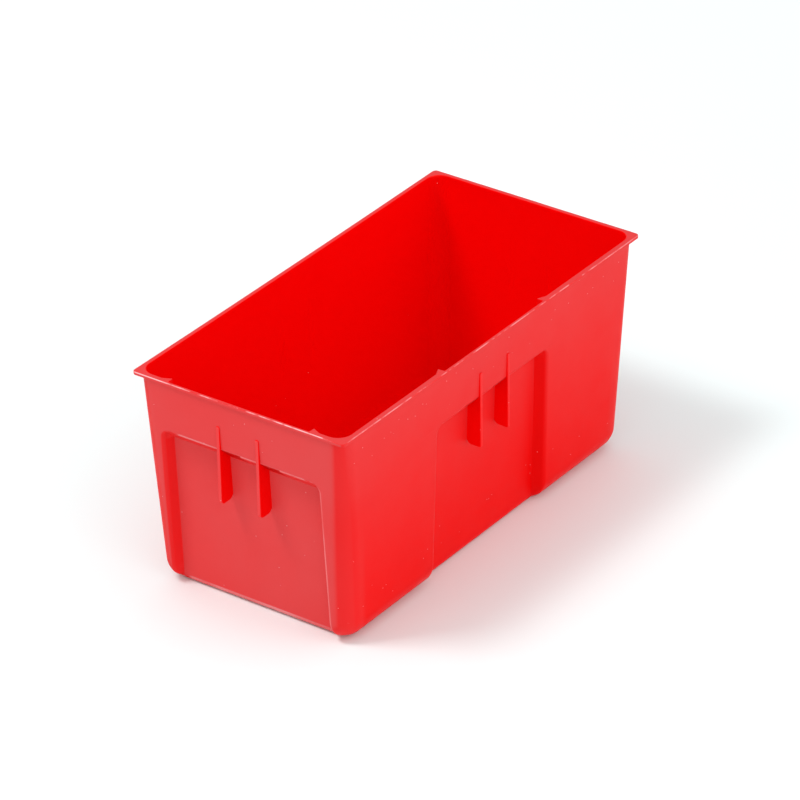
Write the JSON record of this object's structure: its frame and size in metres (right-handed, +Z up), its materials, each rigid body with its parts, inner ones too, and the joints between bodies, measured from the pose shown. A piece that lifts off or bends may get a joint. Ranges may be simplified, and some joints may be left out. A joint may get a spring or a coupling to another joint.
{
  "type": "plastic nesting crate",
  "caption": "Open-topped rectangular plastic crate with tapered walls, a thin rim, recessed end and side walls and nesting fins, for carrying bottles and small goods",
  "frame": {"origin": "centre of the flat base, on the surface it stands on", "axes": "+Z up through the mouth, +Y along the long sides towards the plain end wall, +X towards the recessed side wall; the recessed end wall faces -Y"},
  "size_m": [0.15, 0.3, 0.1425],
  "materials": {
    "red_plastic": "injection-moulded polypropylene, satin to semi-gloss, with light handling wear"
  },
  "bodies": {
    "root": {"back_fin_1": "red_plastic", "back_fin_2": "red_plastic", "back_left_corner": "red_plastic", "back_right_corner": "red_plastic", "back_wall": "red_plastic", "floor": "red_plastic", "front_band": "red_plastic", "front_fin_1": "red_plastic", "front_fin_2": "red_plastic", "front_left_corner": "red_plastic", "front_nib_1": "red_plastic", "front_nib_2": "red_plastic", "front_panel": "red_plastic", "front_right_corner": "red_plastic", "front_shoulder": "red_plastic", "left_fin_1": "red_plastic", "left_fin_2": "red_plastic", "left_wall": "red_plastic", "right_back_leg": "red_plastic", "right_band": "red_plastic", "right_fin_1": "red_plastic", "right_fin_2": "red_plastic", "right_front_leg": "red_plastic", "right_nib_1": "red_plastic", "right_nib_2": "red_plastic", "right_panel": "red_plastic", "right_shoulder": "red_plastic", "rim_back": "red_plastic", "rim_front": "red_plastic", "rim_left": "red_plastic", "rim_right": "red_plastic"}
  },
  "joints": []
}
